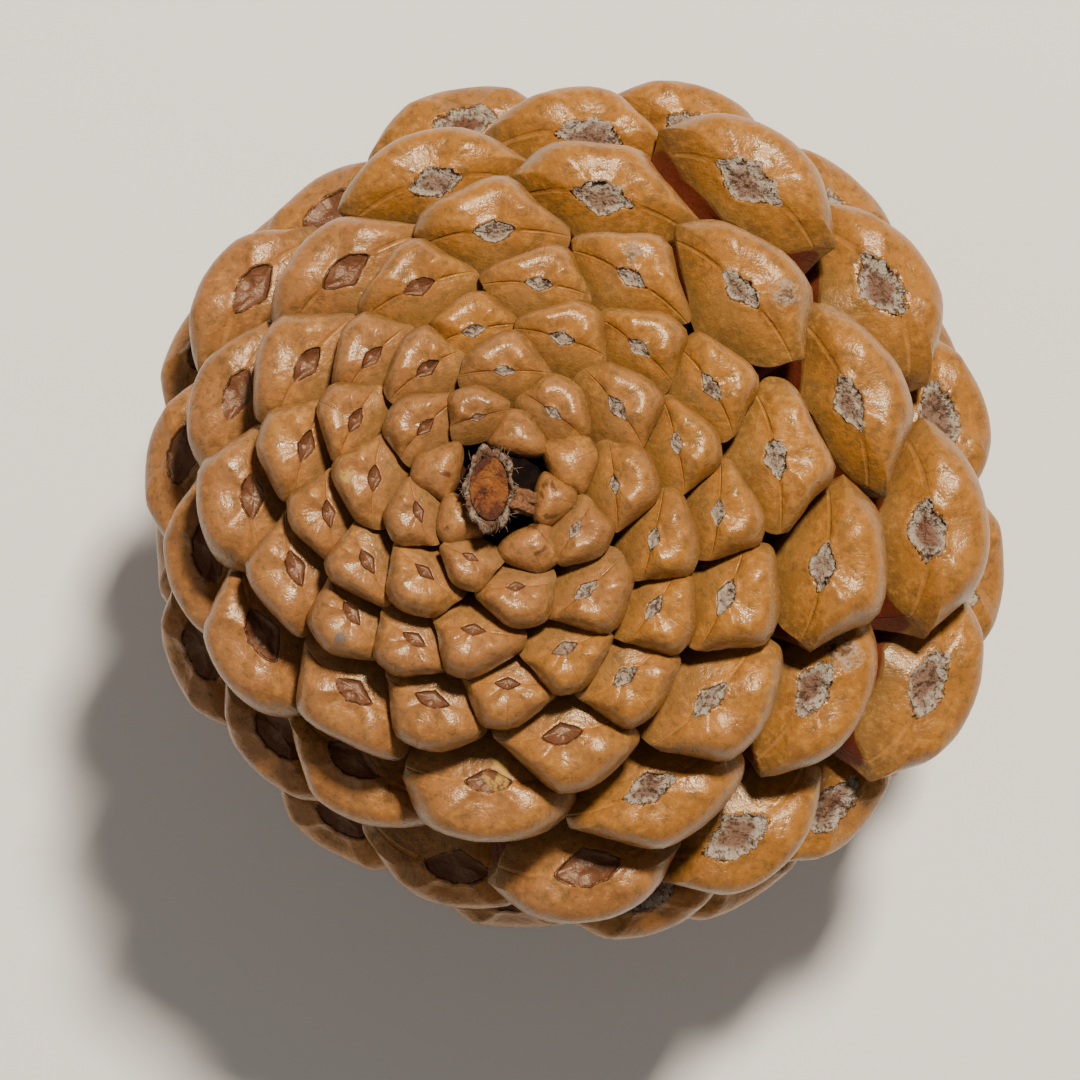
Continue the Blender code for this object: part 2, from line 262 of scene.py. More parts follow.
# the walls that a scale shares with its nearest neighbours: along each one's direction,
# one over the distance at which the two meet
def cellWalls(scale, scales, count, span):
    walls = []
    for other in scales:
        apart = other["heart"] - scale["heart"]
        if other is scale or apart.length > span * scale["room"]:
            continue
        share = scale["room"] / (scale["room"] + other["room"])
        push = scale["room"] / (share * apart.length_squared)
        walls.append(Vector((apart.dot(scale["side"]), apart.dot(scale["down"]), 0.0)) * push)
    walls.sort(key=lambda wall: -wall.length)
    walls += [Vector()] * count
    return walls[:count]


# a number or a vector in a node tree, so that a rule can be written as plain sums
class Field:
    def __init__(self, socket):
        self.socket = socket

    def __add__(self, other):
        return combine("ADD", self, other)

    def __radd__(self, other):
        return combine("ADD", other, self)

    def __sub__(self, other):
        return combine("SUBTRACT", self, other)

    def __rsub__(self, other):
        return combine("SUBTRACT", other, self)

    def __mul__(self, other):
        return combine("MULTIPLY", self, other)

    def __rmul__(self, other):
        return combine("MULTIPLY", self, other)

    def __truediv__(self, other):
        return combine("DIVIDE", self, other)

    def __rtruediv__(self, other):
        return combine("DIVIDE", other, self)

    def __pow__(self, other):
        return combine("POWER", self, other)

    def __neg__(self):
        return combine("MULTIPLY", self, -1.0)


def plug(tree, value, target):
    if isinstance(value, Field):
        tree.links.new(value.socket, target)
    else:
        target.default_value = value


def isVector(value):
    return isinstance(value, Field) and value.socket.type == "VECTOR"


def combine(operation, first, second=None, third=None):
    given = [value for value in (first, second, third) if value is not None]
    tree = next(value for value in given if isinstance(value, Field)).socket.id_data
    if isVector(first) or isVector(second):
        node = tree.nodes.new("ShaderNodeVectorMath")
        if operation == "MULTIPLY" and not (isVector(first) and isVector(second)):
            node.operation = "SCALE"
            vector, factor = (first, second) if isVector(first) else (second, first)
            plug(tree, vector, node.inputs[0])
            plug(tree, factor, node.inputs["Scale"])
            return Field(node.outputs[0])
    else:
        node = tree.nodes.new("ShaderNodeMath")
    node.operation = operation
    for number, value in enumerate(given):
        plug(tree, value, node.inputs[number])
    return Field(node.outputs["Value"] if operation in ("DOT_PRODUCT", "LENGTH") else node.outputs[0])


def least(first, second):
    return combine("MINIMUM", first, second)


def most(first, second):
    return combine("MAXIMUM", first, second)


def size(value):
    return combine("ABSOLUTE", value)


def root(value):
    return combine("SQRT", most(value, 0.0))


def between(first, second, share):
    return first + (second - first) * share


def ramp(value, low, high, smooth=True):
    tree = value.socket.id_data
    node = tree.nodes.new("ShaderNodeMapRange")
    node.interpolation_type = "SMOOTHSTEP" if smooth else "LINEAR"
    plug(tree, value, node.inputs["Value"])
    plug(tree, low, node.inputs["From Min"])
    plug(tree, high, node.inputs["From Max"])
    return Field(node.outputs["Result"])


def split(vector):
    tree = vector.socket.id_data
    node = tree.nodes.new("ShaderNodeSeparateXYZ")
    tree.links.new(vector.socket, node.inputs[0])
    return [Field(output) for output in node.outputs]


def gather(tree, x, y, z):
    node = tree.nodes.new("ShaderNodeCombineXYZ")
    for number, value in enumerate((x, y, z)):
        plug(tree, value, node.inputs[number])
    return Field(node.outputs[0])


# noise from -0.5 to 0.5
def ripple(tree, vector, scale, detail=2.0, rough=0.5, distortion=0.0):
    node = tree.nodes.new("ShaderNodeTexNoise")
    plug(tree, vector, node.inputs["Vector"])
    plug(tree, scale, node.inputs["Scale"])
    node.inputs["Detail"].default_value = detail
    node.inputs["Roughness"].default_value = rough
    node.inputs["Distortion"].default_value = distortion
    return Field(node.outputs[0]) - 0.5


# the form of one scale, in shares of its room, and how finely it is made
scaleForm = {
    "Spokes": 64,
    "Umbo rings": 6,
    "Face rings": 15,
    "Lip rings": 5,
    "Plate rings": 3,
    "Half width": 0.66,
    "Tip side": 0.40,
    "Stem side": 0.37,
    "Closed swell": 1.6,
    "Heart": 0.11,
    "Crown": 0.27,
    "Bulge": 0.175,
    "Keel drop": 0.19,
    "Facet slope": 0.95,
    "Keel lip": 0.006,
    "Umbo half length": 0.180,
    "Umbo half width": 0.082,
    "Umbo sink": 0.026,
    "Open settle": 0.0785,
    "Lumps": 0.035,
    "Rim wander": 0.06,
    "Seed": 3,
}

# the plate behind the swollen end, and the neighbours that bound each scale
plate = {
    "shoulderShare": 0.30,
    "shoulderHalfWidth": 0.52,
    "shoulderHalfThickness": 0.120,
    "collarClear": 0.0020,
    "collarShare": 0.3,
    "collarHalfWidth": 0.0034,
    "collarHalfThickness": 0.0013,
    "endNarrowing": 0.6,
    "lipDrop": 0.24,
    "lipShift": 0.03,
    "neighbours": 8,
    "neighbourSpan": 2.4,
    "cornerSharpness": 12.0,
}


# the tree's named inputs, and its tree
def newTree(name, sizes):
    tree = bpy.data.node_groups.new(name, "GeometryNodeTree")
    tree.interface.new_socket("Geometry", in_out="INPUT", socket_type="NodeSocketGeometry")
    for label, value in sizes.items():
        kind = "NodeSocketInt" if isinstance(value, int) else "NodeSocketFloat"
        socket = tree.interface.new_socket(label, in_out="INPUT", socket_type=kind)
        socket.default_value = value
    tree.interface.new_socket("Geometry", in_out="OUTPUT", socket_type="NodeSocketGeometry")
    entry = tree.nodes.new("NodeGroupInput")
    given = {label: Field(entry.outputs[label]) for label in sizes}
    return tree, entry.outputs["Geometry"], given


def named(tree, name, kind="FLOAT"):
    node = tree.nodes.new("GeometryNodeInputNamedAttribute")
    node.data_type = kind
    node.inputs["Name"].default_value = name
    return Field(node.outputs["Attribute"])


def store(tree, geometry, name, value, kind="FLOAT"):
    node = tree.nodes.new("GeometryNodeStoreNamedAttribute")
    node.data_type = kind
    node.domain = "POINT"
    tree.links.new(geometry, node.inputs["Geometry"])
    node.inputs["Name"].default_value = name
    plug(tree, value, node.inputs["Value"])
    return node.outputs["Geometry"]


def moveTo(tree, geometry, place):
    node = tree.nodes.new("GeometryNodeSetPosition")
    tree.links.new(geometry, node.inputs["Geometry"])
    plug(tree, place, node.inputs["Position"])
    return node.outputs[0]


# smooth shading, the material and the end of the tree
def finishTree(tree, geometry, material):
    shade = tree.nodes.new("GeometryNodeSetShadeSmooth")
    tree.links.new(geometry, shade.inputs[0])
    paint = tree.nodes.new("GeometryNodeSetMaterial")
    paint.inputs["Material"].default_value = material
    tree.links.new(shade.outputs[0], paint.inputs[0])
    tree.links.new(paint.outputs[0], tree.nodes.new("NodeGroupOutput").inputs[0])


# a closed body of rings and spokes that carries its ring number and turn, put on every point
def ringBodies(tree, points, given, rings):
    body = tree.nodes.new("GeometryNodeMeshCylinder")
    body.fill_type = "TRIANGLE_FAN"
    plug(tree, given["Spokes"], body.inputs["Vertices"])
    plug(tree, rings - 1.0, body.inputs["Side Segments"])
    body.inputs["Fill Segments"].default_value = 1
    body.inputs["Radius"].default_value = 1.0
    body.inputs["Depth"].default_value = 2.0
    place = tree.nodes.new("GeometryNodeInputPosition")
    x, y, z = split(Field(place.outputs[0]))
    step = 2.0 / (rings - 1.0)
    ring = (1.0 - z) / step + 1.0
    onAxis = 1.0 - ramp(x * x + y * y, 0.4, 0.6, False)
    ring = ring + onAxis * between(-1.0, 1.0, ramp(-z, -0.1, 0.1, False))
    made = store(tree, body.outputs["Mesh"], "ring", ring)
    made = store(tree, made, "turn", combine("ARCTAN2", y, x))
    scatter = tree.nodes.new("GeometryNodeInstanceOnPoints")
    tree.links.new(points, scatter.inputs["Points"])
    tree.links.new(made, scatter.inputs["Instance"])
    joined = tree.nodes.new("GeometryNodeRealizeInstances")
    tree.links.new(scatter.outputs[0], joined.inputs[0])
    return joined.outputs[0]


# how far the rim reaches, in shares of the way to the walls that a scale shares with its
# neighbours: first at the ends of the keel, then in the middle of the side. A closed scale runs
# on under the inner ones and over the outer ones; an open one stands clear of both
rimReach = {
    "stemClosed": (1.10, 1.26),
    "stemOpen": (1.22, 0.62),
    "tipClosed": (1.10, 1.08),
    "tipOpen": (1.20, 0.93),
    "gape": (0.26, 0.20),
    "riseClosed": 0.85,
    "riseOpen": 1.30,
    "crowding": 0.28,
    "halfFold": 0.02,
}


# where the rim lies in the neighbours' cells, across and along the face
def rimOfCell(tree, given, opened):
    turn = named(tree, "turn")
    turn = turn - combine("SINE", turn * 2.0) * rimReach["crowding"]  # spokes crowd towards the keel
    cosine, sine = combine("COSINE", turn), combine("SINE", turn)
    tipward = ramp(sine, -rimReach["halfFold"], rimReach["halfFold"], False)
    swell = between(given["Closed swell"], 1.0, opened)
    along = between(given["Stem side"], given["Tip side"], tipward) * swell
    rise = size(sine) ** between(rimReach["riseClosed"], rimReach["riseOpen"], opened)
    x = cosine * given["Half width"] * swell
    y = along * rise * combine("SIGN", sine)
    own = root(x * x + y * y)
    direction = gather(tree, x / own, y / own, 0.0)
    away = size(sine)
    stemClosed, stemOpen = between(*rimReach["stemClosed"], away), between(*rimReach["stemOpen"], away)
    tipClosed, tipOpen = between(*rimReach["tipClosed"], sine), between(*rimReach["tipOpen"], sine)
    ease = between(between(stemClosed, stemOpen, opened), between(tipClosed, tipOpen, opened), tipward)
    ease = ease - named(tree, "gape") * away * between(*rimReach["gape"], tipward)
    sharpness = plate["cornerSharpness"]
    walls = (1.0 / own) ** sharpness
    for number in range(plate["neighbours"]):
        wall = combine("DOT_PRODUCT", named(tree, "wall%d" % number, "FLOAT_VECTOR"), direction)
        walls = walls + (most(wall, 0.0) / ease) ** sharpness
    wave = gather(tree, cosine * 1.4, sine * 1.4, named(tree, "pick") * 50.0)
    reach = walls ** (-1.0 / sharpness) * (1.0 + ripple(tree, wave, 1.6, 1.0) * given["Rim wander"])
    x, y, z = split(direction)
    x, y = x * reach, y * reach + given["Heart"]
    return x, y


# how the face rises and falls between the umbo and the rim, in shares of the room
faceForm = {
    "diamondPower": 1.12,
    "tornSmooth": 0.20,
    "tornRugged": 0.25,
    "keelPower": 2.2,
    "bulgePower": 1.3,
    "rollPower": 0.60,
    "closedFacet": 0.65,
    "openKeelEase": 0.8,
    "knobDrop": 0.58,
    "umboRim": 0.016,
    "lumpsPerMetre": 150.0,
    "crustPerMetre": 1100.0,
    "crust": 0.060,
    "lipPower": 0.62,
}


# every scale's shape: from the umbo over the face to the rim, the lip, the plate and the root
def growScales(name, material):
    tree, points, given = newTree(name, scaleForm)
    rings = given["Umbo rings"] + given["Face rings"] + given["Lip rings"] + given["Plate rings"]
    bodies = ringBodies(tree, points, given, rings)
    ring, opened, room = named(tree, "ring"), named(tree, "opened"), named(tree, "room")
    knob, rugged = named(tree, "knob"), named(tree, "scurf")
    faceStart = given["Umbo rings"]
    faceEnd = faceStart + given["Face rings"]
    lipEnd = faceEnd + given["Lip rings"]
    inUmbo = ramp(ring, 0.0, faceStart, False)
    onFace = ramp(ring, faceStart, faceEnd, False)
    onLip = ramp(ring, faceEnd, lipEnd, False)
    onPlate = ramp(ring, lipEnd, lipEnd + given["Plate rings"], False)

    # across and along the face, with rings that follow the umbo's diamond first
    rimX, rimY = rimOfCell(tree, given, opened)
    reach = root(rimX * rimX + rimY * rimY)
    unitX, unitY = rimX / reach, rimY / reach
    seedShift = gather(tree, given["Seed"] * 7.0, named(tree, "pick") * 31.0, 0.0)
    torn = ripple(tree, gather(tree, unitX, unitY, 0.0) + seedShift, 2.2, 2.0)
    torn = torn * (faceForm["tornSmooth"] + rugged * faceForm["tornRugged"])
    grown = named(tree, "umboSize") * (1.0 + torn)
    diamondX = size(unitX) / given["Umbo half length"]
    diamondY = size(unitY) / given["Umbo half width"]
    power = faceForm["diamondPower"]
    diamond = grown / (diamondX ** power + diamondY ** power) ** (1.0 / power)
    edge = least(diamond * 1.35, reach * 0.6)
    eased = combine("SINE", onFace * (math.pi / 2.0))
    distance = between(edge * inUmbo, reach, eased)
    share = distance / reach
    across, along = unitX * distance, unitY * distance
    umboNorm = distance / diamond

    # height of the face over the umbo's level
    rounded = root(1.0 - share * share)
    keel = given["Keel drop"] * share ** faceForm["keelPower"] * -1.0
    bulge = named(tree, "bulge") * combine("SINE", share ** faceForm["bulgePower"] * math.pi)
    swollen = given["Crown"] * (rounded - 1.0) + bulge
    roll = least(most(unitY, 0.0) * 2.0, 1.0) ** faceForm["rollPower"]
    tipHeight = between(keel, swollen, roll)
    facet = between(faceForm["closedFacet"], 1.0, opened) * given["Facet slope"]
    inward = most(along * -1.0, 0.0)
    stemKeel = keel * (1.0 - most(unitY * -1.0, 0.0) * opened * faceForm["openKeelEase"])
    stemHeight = stemKeel - facet * inward
    knobHeight = faceForm["knobDrop"] * (rounded - 1.0)
    swellHeight = between(stemHeight, tipHeight, ramp(unitY, -0.01, 0.01, False))
    height = between(swellHeight, knobHeight, knob)
    lip = given["Keel lip"] * (1.0 - ramp(size(unitY), 0.0, 0.07)) * ramp(umboNorm, 1.0, 1.4)
    height = height + lip * (1.0 - knob) * (1.0 - share ** 6.0)
    sunk = (1.0 - ramp(umboNorm, 0.72, 1.0)) * given["Umbo sink"]
    raised = ramp(umboNorm, 0.8, 1.02) * (1.0 - ramp(umboNorm, 1.02, 1.3)) * faceForm["umboRim"]
    height = height - (sunk - raised) * (1.0 - knob) * named(tree, "umboSize")

    # the rim in the cone, and small lumps in the face
    umbo = named(tree, "umbo", "FLOAT_VECTOR")
    side, down = named(tree, "side", "FLOAT_VECTOR"), named(tree, "down", "FLOAT_VECTOR")
    normal = named(tree, "normal", "FLOAT_VECTOR")
    flat = umbo + side * (across * room) + down * (along * room)
    flat = flat - normal * (opened * given["Open settle"] * room)
    lumps = ripple(tree, flat * faceForm["lumpsPerMetre"] + seedShift, 1.0, 2.0) * given["Lumps"]
    crust = ripple(tree, flat * faceForm["crustPerMetre"] + seedShift, 1.0, 3.0, 0.6) * faceForm["crust"]
    crust = crust * (1.0 - ramp(umboNorm, 0.85, 1.2)) * (0.15 + rugged) * (1.0 - knob)
    height = height + lumps * share + crust
    face = flat + normal * (height * room)

    # the plate, as an oval round a line from behind the rim to the root
    behind = umbo + (down * plate["lipShift"] - normal * (given["Crown"] + plate["lipDrop"])) * room
    collar = named(tree, "collar")
    shoulderShare = plate["shoulderShare"]
    along01 = between(onLip * shoulderShare, 1.0, onPlate)
    centre = between(behind, named(tree, "root", "FLOAT_VECTOR"), along01)
    narrow = ramp(along01, shoulderShare, collar)
    collarWidth = least(room * plate["collarShare"], plate["collarHalfWidth"])
    halfWidth = between(room * plate["shoulderHalfWidth"], collarWidth, narrow)
    halfThickness = between(room * plate["shoulderHalfThickness"], plate["collarHalfThickness"], narrow)
    ending = 1.0 - ramp(onPlate, 0.90, 1.0, False) * plate["endNarrowing"]
    turn = combine("ARCTAN2", rimY - given["Heart"], rimX)
    over = named(tree, "over", "FLOAT_VECTOR") * (halfWidth * combine("COSINE", turn) * ending)
    through = named(tree, "through", "FLOAT_VECTOR") * (halfThickness * combine("SINE", turn) * ending)
    behindFace = centre + over + through
    isPole = ramp(ring, lipEnd + given["Plate rings"] + 0.1, lipEnd + given["Plate rings"] + 0.9, False)
    behindFace = between(behindFace, named(tree, "root", "FLOAT_VECTOR"), isPole)
    place = between(face, behindFace, onLip ** faceForm["lipPower"])

    # settled on the tip
    x, y, z = split(place)
    upShare = z / wholeDepth()
    lower = most(z, spiral["restPress"]) - spiral["restPress"]
    place = gather(tree, x + upShare * spiral["leanX"], y + upShare * spiral["leanY"], lower)
    made = moveTo(tree, bodies, place)

    # what the finish needs to know
    made = store(tree, made, "local", gather(tree, across, along, height), "FLOAT_VECTOR")
    stemward = ramp(combine("SINE", turn), -0.15, 0.15) * -1.0 + 1.0
    made = store(tree, made, "zones", gather(tree, umboNorm, share, onLip), "FLOAT_VECTOR")
    made = store(tree, made, "stemward", stemward)
    finishTree(tree, made, material)
    return tree


# the points that carry the scales, with each one's frame and growth as attributes
def scalePoints(name, scales, everyScale):
    mesh = bpy.data.meshes.new(name)
    mesh.from_pydata([scale["umbo"] for scale in scales], [], [])
    vectors = {key: [scale[key] for scale in scales] for key in
               ("umbo", "side", "down", "normal", "root", "over", "through", "spot")}
    walls = [cellWalls(scale, everyScale, plate["neighbours"], plate["neighbourSpan"]) for scale in scales]
    for number in range(plate["neighbours"]):
        vectors["wall%d" % number] = [wall[number] for wall in walls]
    for key, values in vectors.items():
        layer = mesh.attributes.new(key, "FLOAT_VECTOR", "POINT")
        layer.data.foreach_set("vector", [number for value in values for number in value])
    for key in ("room", "opened", "knob", "scurf", "umboSize", "bulge", "collar", "pick", "tint", "worn",
                "gape"):
        layer = mesh.attributes.new(key, "FLOAT", "POINT")
        layer.data.foreach_set("value", [float(scale[key]) for scale in scales])
    made = bpy.data.objects.new(name, mesh)
    bpy.context.scene.collection.objects.link(made)
    return made


# how the scales differ from each other: greyer bosses on the sunny side, redder ones opposite
growth = {
    "knobLast": 9,
    "scurfAzimuth": 20.0,
    "scurfFrom": -0.30,
    "scurfTo": 0.25,
    "gapeAzimuth": 48.0,
    "umboGrowth": 0.08,
    "seed": 5,
}

# spots that only a few scales have: x and y on the face, and what it is
# (1 yellow lichen, 2 grey mould, 3 a dry crust like the boss's)
spots = {
    21: (0.02, 0.36, 1.0),
    57: (0.06, -0.04, 1.0),
    39: (0.22, 0.30, 2.0),
    48: (0.13, 0.20, 3.0),
    56: (-0.27, 0.20, 3.0),
    67: (0.31, 0.04, 3.0),
}


def growTraits(scales):
    draw = random.Random(growth["seed"])
    for scale in scales:
        index = scale["index"]
        facing = math.cos(scale["azimuth"] - math.radians(growth["scurfAzimuth"]))
        uneven = draw.uniform(-0.18, 0.18)
        scale["pick"] = draw.random()
        scale["tint"] = min(max(0.5 + 0.45 * facing + draw.uniform(-0.2, 0.2), 0.0), 1.0)
        scale["tint"] *= smoothStep(index, 6, 40) * 0.7 + 0.3
        scale["scurf"] = smoothStep(facing + uneven, growth["scurfFrom"], growth["scurfTo"])
        scale["worn"] = smoothStep(index, 40, 76) * draw.uniform(0.6, 1.0)
        gape = smoothStep(math.cos(scale["azimuth"] - math.radians(growth["gapeAzimuth"])), -0.55, 0.75)
        scale["gape"] = gape * smoothStep(index, 22, 48) * (1.0 - 0.65 * smoothStep(index, 64, 74))
        scale["knob"] = 1.0 if index <= growth["knobLast"] else 0.0
        scale["umboSize"] = 1.04 + growth["umboGrowth"] * smoothStep(index, 20, 76) + draw.uniform(-0.1, 0.1)
        scale["bulge"] = scaleForm["Bulge"] * mix(1.2, 0.95, scale["opened"]) + draw.uniform(-0.02, 0.02)
        scale["spot"] = Vector(spots.get(index, (0.0, 0.0, 0.0)))
        shift = scale["down"] * (plate["lipShift"] - spiral["heart"])
        behind = scale["heart"] + (shift - scale["normal"] * plate["lipDrop"]) * scale["room"]
        along = (scale["root"] - behind).normalized()
        scale["over"] = (scale["side"] - along * scale["side"].dot(along)).normalized()
        through = along.cross(scale["over"])
        scale["through"] = through if through.dot(scale["down"]) > 0.0 else -through
        length = (scale["root"] - behind).length
        scale["collar"] = 1.0 - (scale["core"] - scale["root"].to_2d().length + plate["collarClear"]) / length


# sets the modifier's inputs by identifier, and turns the result into a plain mesh
def settle(points, tree, sizes, name):
    modifier = points.modifiers.new("grow", "NODES")
    modifier.node_group = tree
    for item in tree.interface.items_tree:
        if item.item_type == "SOCKET" and item.in_out == "INPUT" and item.name in sizes:
            modifier[item.identifier] = sizes[item.name]
    bpy.context.view_layer.update()
    evaluated = points.evaluated_get(bpy.context.evaluated_depsgraph_get())
    mesh = bpy.data.meshes.new_from_object(evaluated)
    points.modifiers.clear()
    bpy.data.objects.remove(points, do_unlink=True)
    mesh.name = name
    made = bpy.data.objects.new(name, mesh)
    bpy.context.scene.collection.objects.link(made)
    triangles = sum(len(face.vertices) - 2 for face in mesh.polygons)
    print(name, len(mesh.vertices), "vertices,", triangles, "triangles")
    return made


# shader helpers
def newMaterial(name):
    material = bpy.data.materials.new(name)
    material.use_nodes = True
    tree = material.node_tree
    return material, tree, tree.nodes["Principled BSDF"]


def attribute(tree, name, output="Fac"):
    node = tree.nodes.new("ShaderNodeAttribute")
    node.attribute_name = name
    return Field(node.outputs[output])


def objectPlace(tree):
    return Field(tree.nodes.new("ShaderNodeTexCoord").outputs["Object"])


def blend(tree, first, second, share, mode="MIX"):
    node = tree.nodes.new("ShaderNodeMix")
    node.data_type = "RGBA"
    node.blend_type = mode
    plug(tree, share, node.inputs["Factor"])
    for value, target in ((first, node.inputs[6]), (second, node.inputs[7])):
        if isinstance(value, tuple):
            target.default_value = value + (1.0,)
        else:
            plug(tree, value, target)
    return Field(node.outputs[2])


def addBump(tree, shader, height, distance, strength=1.0):
    node = tree.nodes.new("ShaderNodeBump")
    node.inputs["Strength"].default_value = strength
    node.inputs["Distance"].default_value = distance
    plug(tree, height, node.inputs["Height"])
    tree.links.new(node.outputs["Normal"], shader.inputs["Normal"])


# colours of the cone, as linear values
scaleColours = {
    "caramel": (0.290, 0.116, 0.020),
    "pinkBrown": (0.268, 0.112, 0.036),
    "olive": (0.120, 0.070, 0.022),
    "pale": (0.440, 0.200, 0.045),
    "stain": (0.150, 0.058, 0.018),
    "keelLine": (0.460, 0.200, 0.055),
    "umboRed": (0.112, 0.040, 0.017),
    "umboDark": (0.035, 0.012, 0.006),
    "scurfGrey": (0.290, 0.245, 0.195),
    "scurfRed": (0.105, 0.038, 0.019),
    "innerFace": (0.100, 0.018, 0.007),
    "outerBack": (0.110, 0.040, 0.012),
    "lichen": (0.400, 0.245, 0.060),
    "mould": (0.070, 0.080, 0.080),
}


def scaleMaterial():
    material, tree, shader = newMaterial("waxyScale")
    colours = scaleColours
    place = objectPlace(tree)
    local = attribute(tree, "local", "Vector")
    x, y, z = split(local)
    umboNorm, share, onLip = split(attribute(tree, "zones", "Vector"))
    pick, tint = attribute(tree, "pick"), attribute(tree, "tint")
    scurf, knob, worn = attribute(tree, "scurf"), attribute(tree, "knob"), attribute(tree, "worn")
    stemward = attribute(tree, "stemward")

    broad = ripple(tree, place, 90.0, 2.0)
    fine = ripple(tree, place, 900.0, 3.0, 0.7)
    mottle = ripple(tree, place, 260.0, 2.0, 0.65)
    base = blend(tree, colours["pinkBrown"], colours["caramel"], ramp(tint + broad * 0.7, 0.1, 0.75))
    base = blend(tree, base, colours["stain"], ramp(mottle, 0.0, 0.15) * 0.42)
    # darker and more olive towards the rim: partly the margin's own olive tint, partly painted shade in the
    # creases between scales
    rimTintAndCreaseShade = ramp(share + broad * 0.5, 0.60, 1.05)
    base = blend(tree, base, colours["olive"], rimTintAndCreaseShade * 0.55)
    base = blend(tree, base, colours["pale"], ramp(fine + broad * 0.4, 0.03, 0.18) * 0.45)
    base = blend(tree, base, colours["olive"], ramp(fine * -1.0 - broad * 0.3, 0.02, 0.17) * 0.65)
    # the stem-side facet darker and more olive: partly its own duller colour, partly painted shade, as it
    # faces away from the light
    base = blend(tree, base, colours["olive"], ramp(y * -1.0 + broad * 0.1, 0.02, 0.20) * (1.0 - knob) * 0.45)

    # fine lines that run out from the umbo
    angle = combine("ARCTAN2", y, x)
    away = root(x * x + y * y)
    aroundUmbo = [combine(part, angle) * 9.0 for part in ("COSINE", "SINE")]
    streakPlace = gather(tree, *aroundUmbo, away * 1.3 + pick * 40.0)
    streaks = ripple(tree, streakPlace, 2.2, 2.0, 0.6)
    outside = ramp(umboNorm, 1.2, 1.8) * (1.0 - knob)
    base = blend(tree, base, colours["pale"], ramp(streaks, 0.10, 0.30) * outside * 0.20)
    base = blend(tree, base, colours["olive"], ramp(streaks * -1.0, 0.12, 0.30) * outside * 0.30)

    # the thin pale keel from corner to corner, and a faint fold towards the tip: partly their own paler
    # colour, partly a painted highlight along these ridges
    wander = ripple(tree, gather(tree, x * 5.0, pick * 30.0, 0.0), 1.0, 2.0) * 0.02
    onKeel = (1.0 - ramp(size(y + wander * 0.3), 0.002, 0.010)) * ramp(umboNorm, 1.15, 1.5) * (1.0 - knob)
    base = blend(tree, base, colours["keelLine"], onKeel * 0.32)
    folded = (1.0 - ramp(size(x + wander * 2.0), 0.003, 0.012)) * ramp(y, 0.22, 0.34) * ramp(pick, 0.45, 0.75)
    base = blend(tree, base, colours["keelLine"], folded * 0.30 * (1.0 - knob))

    # the umbo: smooth and red on one side of the cone, grey and crusted on the other
    crustNoise = ripple(tree, place, 520.0, 3.0, 0.75)
    smooth = blend(tree, colours["umboRed"], colours["umboDark"], ramp(crustNoise, 0.02, 0.30) * 0.7)
    patches = ripple(tree, place, 330.0, 2.0, 0.6)
    middle = 1.0 - ramp(umboNorm + patches * 1.5, 0.45, 0.85)
    crust = blend(tree, colours["scurfGrey"], colours["scurfRed"], middle * (0.35 + worn * 0.65))
    crust = blend(tree, crust, colours["scurfRed"], ramp(patches, 0.10, 0.16) * worn)
    crust = blend(tree, crust, colours["umboDark"], ramp(crustNoise, 0.05, 0.16) * 0.85)
    flecks = ripple(tree, place, 1700.0, 2.0, 0.6)
    crust = blend(tree, crust, colours["umboDark"], ramp(flecks, 0.04, 0.13) * 0.8)
    cracks = 1.0 - ramp(size(ripple(tree, place, 300.0, 2.0, 0.5, 1.5)), 0.003, 0.018)
    crust = blend(tree, crust, colours["umboDark"], cracks * ramp(patches, -0.12, 0.0) * 0.8)
    boss = blend(tree, smooth, crust, ramp(scurf + crustNoise * 0.5, 0.35, 0.65))
    ragged = umboNorm + crustNoise * (0.15 + scurf * 0.6) + patches * scurf * 0.5
    inBoss = (1.0 - ramp(ragged, 0.98, 1.06)) * (1.0 - knob)
    outline = ramp(ragged, 0.93, 1.01) * (1.0 - ramp(ragged, 1.03, 1.10)) * (1.0 - knob)
    base = blend(tree, base, boss, inBoss)
    outline = outline * ramp(crustNoise + patches, -0.20, 0.05)
    base = blend(tree, base, colours["umboDark"], outline * between(0.75, 0.45, scurf))

    # knobs have blurred red-brown stains instead
    stain = ramp(ripple(tree, place, 330.0, 2.0, 0.5, 0.8), 0.12, 0.19) * knob
    base = blend(tree, base, colours["umboDark"], stain * 0.7)

    # lichen and mould on a few scales
    spotX, spotY, spotKind = split(attribute(tree, "spot", "Vector"))
    isCrust = ramp(spotKind, 2.4, 2.6)
    spotRagged = crustNoise * between(0.10, 0.22, isCrust) + patches * isCrust * 0.20
    spotAway = root((x - spotX) ** 2.0 + (y - spotY) ** 2.0) + spotRagged
    spotted = (1.0 - ramp(spotAway, 0.085, 0.125)) * ramp(spotKind, 0.4, 0.6)
    spotColour = blend(tree, colours["lichen"], colours["mould"], ramp(spotKind, 1.4, 1.6))
    spotColour = blend(tree, spotColour, crust, isCrust)
    spotColour = blend(tree, spotColour, colours["umboDark"], ramp(crustNoise, -0.02, 0.12) * isCrust * 0.8)
    base = blend(tree, base, spotColour, spotted * ramp(crustNoise + fine * 0.6, -0.10, 0.06) * 0.8)

    # behind the rim: smooth dark red towards the stem, dull brown towards the tip
    back = blend(tree, colours["outerBack"], colours["innerFace"], stemward)
    # darker further in behind the rim: painted shade in the recess under the scale
    back = blend(tree, back, colours["umboDark"], ramp(onLip, 0.35, 1.0) * 0.8)
    behind = ramp(onLip, between(0.30, 0.03, stemward), between(0.55, 0.09, stemward))
    base = blend(tree, base, back, behind)
    plug(tree, base, shader.inputs["Base Color"])

